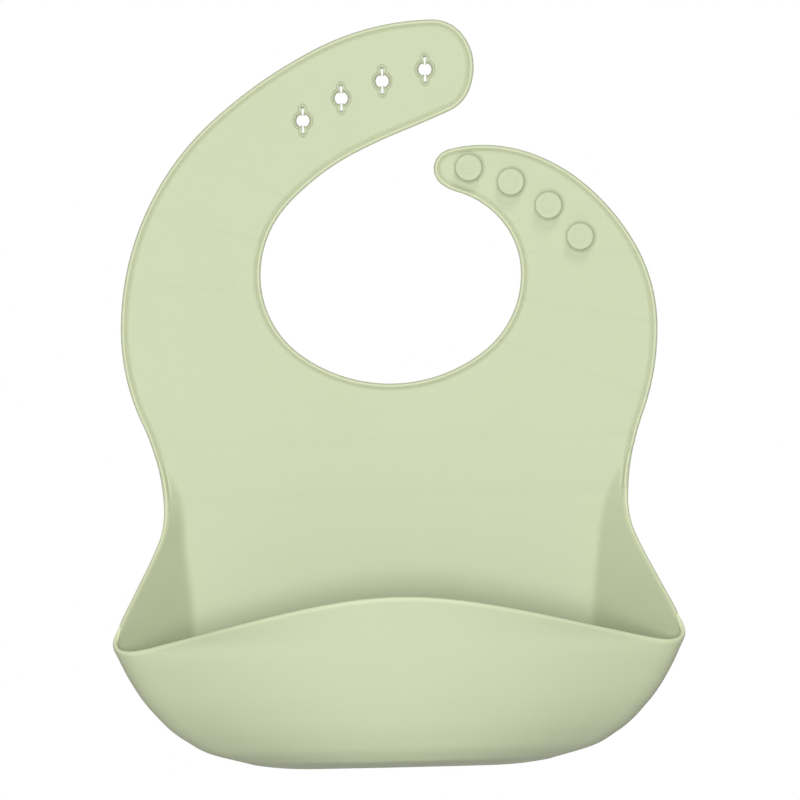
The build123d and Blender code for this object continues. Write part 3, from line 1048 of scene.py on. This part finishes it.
class BIB_OT_pocket(bpy.types.Operator):
    """Add the lower panel and the catch-all pocket as one shell"""

    bl_idname = "bib.pocket"
    bl_label = "Pocket"

    def execute(self, context):
        top = waist_fold_height() - context.scene.bib_sizes.waist_bend / MM
        patch = Patch()
        line = np.linspace(0, 1, SOLE_ROWS)[:, None, None]
        for way in (1, -1):
            points, distance, heights = pocket_half(top, way)
            patch.grid(points[::way], distance[::way], bead_fade(heights, POCKET_BEAD)[::way])
            foot = points[SIDE_LINES + FAN_LINES:, -1]
            back_foot, front_foot = foot[:FOOT_LINES + 1], foot[FOOT_LINES:][::-1]
            sole = back_foot + line * (front_foot - back_foot)
            hang = 1 - np.clip((np.abs(sole[..., 0]) - SOLE_FLAT) / SOLE_FALL, 0, 1) ** 2
            hang *= smooth(np.linalg.norm(front_foot - back_foot, axis=1) / SOLE_TIP)
            sole[..., 2] -= SOLE_DROP * hang * np.sin(np.pi * line[..., 0] ** SOLE_LEAN)
            patch.grid(sole[::-way], np.full(sole.shape[:2], DEEP), 0.0)
        piece = shell("pocket", patch)
        finish_piece(piece, sheet_material(), [
            "lower_panel", "left_gusset", "right_gusset", "pocket_floor", "pocket_front", "pocket_rim"])
        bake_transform(piece)
        return {"FINISHED"}


# ---------------------------------------------------------------- stage
CAMERA_AIM = (2.6 * MM, 0.0, -51.1 * MM)
CAMERA_DISTANCE = 3.6
FRAME_WIDTH = 326.4 * MM  # width of the view at the sheet
CAMERA_ROLL = 1.33  # degrees that the bib leans in the view
SENSOR_WIDTH = 36.0
VIEW_END = 20.0  # furthest that the camera sees
FLOOR_Z = -0.42
FLOOR_RADIUS = 1.1
FLOOR_POINTS = 64
AMBIENT = 0.08  # strength of the surroundings' light
# Name, place, diameter and power of each round lamp: a wide soft box behind the camera, a small one
# above, and a wide faint one behind the bib for its edges.
LAMPS = (
    ("key", (-0.25, -4.1, 0.02), 3.0, 162.0),
    ("top", (0.35, -1.1, 1.3), 0.6, 6.5),
    ("back", (0.0, 1.5, 0.1), 3.0, 22.0),
)


class BIB_OT_stage(bpy.types.Operator):
    """Add the floor, the lights, the surroundings and the camera"""

    bl_idname = "bib.stage"
    bl_label = "Stage"

    def execute(self, context):
        colours = context.scene.bib_colours
        angle = np.arange(FLOOR_POINTS) / FLOOR_POINTS * 2 * np.pi
        across, along = FLOOR_RADIUS * np.cos(angle), FLOOR_RADIUS * np.sin(angle)
        disc = np.stack((across, along, np.full(FLOOR_POINTS, FLOOR_Z)), axis=-1)
        floor = make_piece("floor", disc, [list(range(FLOOR_POINTS))])
        shader = Shader(bpy.data.materials.new("floor_paint"))
        place = shader.node("ShaderNodeTexCoord", output="Object")
        cloud = shader.node("ShaderNodeTexNoise", {"Vector": place, "Scale": 6.0})
        surface = shader.node("ShaderNodeBsdfPrincipled", {
            "Base Color": shader.mix(cloud, opaque(colours.backdrop, 0.86), opaque(colours.backdrop, 0.9)),
            "Roughness": 0.8})
        shader.node("ShaderNodeOutputMaterial", {"Surface": surface})
        floor.data.materials.append(shader.owner)

        context.scene.view_settings.view_transform = "Standard"
        context.scene.world = bpy.data.worlds.new("surroundings")
        shader = Shader(context.scene.world)
        backdrop = opaque(colours.backdrop)
        ambient = shader.node("ShaderNodeBackground", {"Color": backdrop, "Strength": AMBIENT})
        seen = shader.node("ShaderNodeBackground", {"Color": backdrop, "Strength": 1.0})
        to_camera = shader.node("ShaderNodeLightPath", output="Is Camera Ray")
        either = shader.node("ShaderNodeMixShader", {0: to_camera, 1: ambient, 2: seen})
        shader.node("ShaderNodeOutputWorld", {"Surface": either})

        for name, place, size, power in LAMPS:
            lamp = bpy.data.lights.new(name, "AREA")
            lamp.shape = "DISK"
            lamp.size = size
            lamp.energy = power
            holder = bpy.data.objects.new(name, lamp)
            holder.visible_camera = False
            holder.location = place
            aim = Vector(CAMERA_AIM) - Vector(place)
            holder.rotation_euler = aim.to_track_quat("-Z", "Y").to_euler()
            context.scene.collection.objects.link(holder)

        lens = bpy.data.cameras.new("camera")
        lens.sensor_width = SENSOR_WIDTH
        lens.lens = SENSOR_WIDTH * CAMERA_DISTANCE / FRAME_WIDTH
        lens.clip_end = VIEW_END
        camera = bpy.data.objects.new("camera", lens)
        camera.location = (CAMERA_AIM[0], -CAMERA_DISTANCE, CAMERA_AIM[2])
        camera.rotation_euler = (np.radians(90), np.radians(CAMERA_ROLL), 0)
        context.scene.collection.objects.link(camera)
        context.scene.camera = camera
        return {"FINISHED"}


# ---------------------------------------------------------------- add-on
class BIB_PT_panel(bpy.types.Panel):
    """Lists the bib's pieces in the sidebar"""

    bl_idname = "BIB_PT_panel"
    bl_label = "Silicone bib"
    bl_space_type = "VIEW_3D"
    bl_region_type = "UI"
    bl_category = "Bib"

    def draw(self, context):
        for group in (context.scene.bib_sizes, context.scene.bib_colours):
            for name in group.__annotations__:
                self.layout.prop(group, name)
        for operator in OPERATORS:
            self.layout.operator(operator.bl_idname)


OPERATORS = (
    BIB_OT_stage, BIB_OT_chest, BIB_OT_waist, BIB_OT_straps, BIB_OT_strap_ends, BIB_OT_eyelets,
    BIB_OT_studs, BIB_OT_pocket,
)
CLASSES = (BibSizes, BibColours, *OPERATORS, BIB_PT_panel)


def register():
    for cls in CLASSES:
        bpy.utils.register_class(cls)
    bpy.types.Scene.bib_sizes = bpy.props.PointerProperty(type=BibSizes)
    bpy.types.Scene.bib_colours = bpy.props.PointerProperty(type=BibColours)


def unregister():
    del bpy.types.Scene.bib_colours
    del bpy.types.Scene.bib_sizes
    for cls in reversed(CLASSES):
        bpy.utils.unregister_class(cls)


def main():
    """Registers the add-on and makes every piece."""
    register()
    for operator in OPERATORS:
        category, name = operator.bl_idname.split(".")
        getattr(getattr(bpy.ops, category), name)()


if __name__ == "__main__":
    main()
